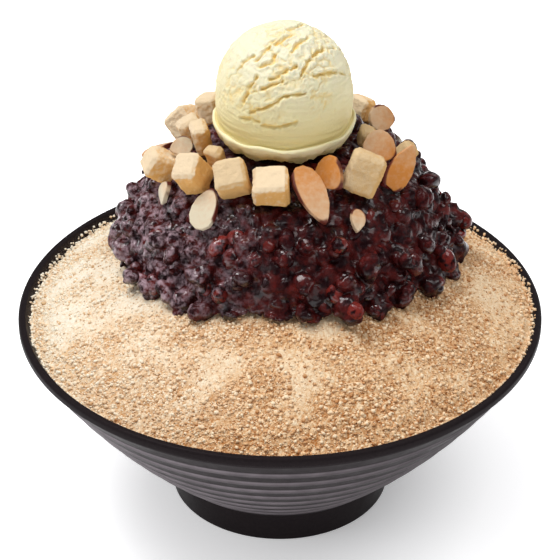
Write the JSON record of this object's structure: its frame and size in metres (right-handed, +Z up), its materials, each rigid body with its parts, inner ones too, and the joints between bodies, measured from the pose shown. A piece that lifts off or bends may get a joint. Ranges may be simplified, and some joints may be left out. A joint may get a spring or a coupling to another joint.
{
  "type": "bingsu",
  "caption": "shaved ice under toasted bean powder in a ribbed bowl, topped with a heap of sweet red beans, rice-cake cubes, almond slices and a scoop of ice cream",
  "frame": {"origin": "centre of the bowl's foot, on the table", "axes": "+Z up along the bowl's axis; the shown front faces -Y; +X to the right seen from the front"},
  "size_m": [0.19, 0.19, 0.1834],
  "materials": {
    "bowl_melamine": "dark charcoal melamine, satin, with shallow turned ribs",
    "bean_powder": "dry toasted soybean powder, matt and grainy, over shaved ice",
    "red_bean": "sweet boiled red beans, wet and glossy",
    "ice_cream": "pale cream ice cream, softly torn surface",
    "rice_cake": "soft rice cake dusted with bean powder",
    "almond": "toasted almond slice with a thin brown skin at its edge"
  },
  "bodies": {
    "root": {"bowl": "bowl_melamine", "powdered_ice": "bean_powder", "red_bean_heap": "red_bean", "ice_cream_scoop": "ice_cream", "rice_cake_01": "rice_cake", "rice_cake_02": "rice_cake", "rice_cake_03": "rice_cake", "rice_cake_04": "rice_cake", "rice_cake_05": "rice_cake", "rice_cake_06": "rice_cake", "rice_cake_07": "rice_cake", "rice_cake_08": "rice_cake", "rice_cake_09": "rice_cake", "rice_cake_10": "rice_cake", "rice_cake_11": "rice_cake", "rice_cake_12": "rice_cake", "rice_cake_13": "rice_cake", "rice_cake_14": "rice_cake", "rice_cake_15": "rice_cake", "rice_cake_16": "rice_cake", "almond_slice_01": "almond", "almond_slice_02": "almond", "almond_slice_03": "almond", "almond_slice_04": "almond", "almond_slice_05": "almond", "almond_slice_06": "almond", "almond_slice_07": "almond", "almond_slice_08": "almond", "almond_slice_09": "almond", "almond_slice_10": "almond", "almond_slice_11": "almond", "almond_slice_12": "almond", "almond_slice_13": "almond", "almond_slice_14": "almond"}
  },
  "joints": []
}
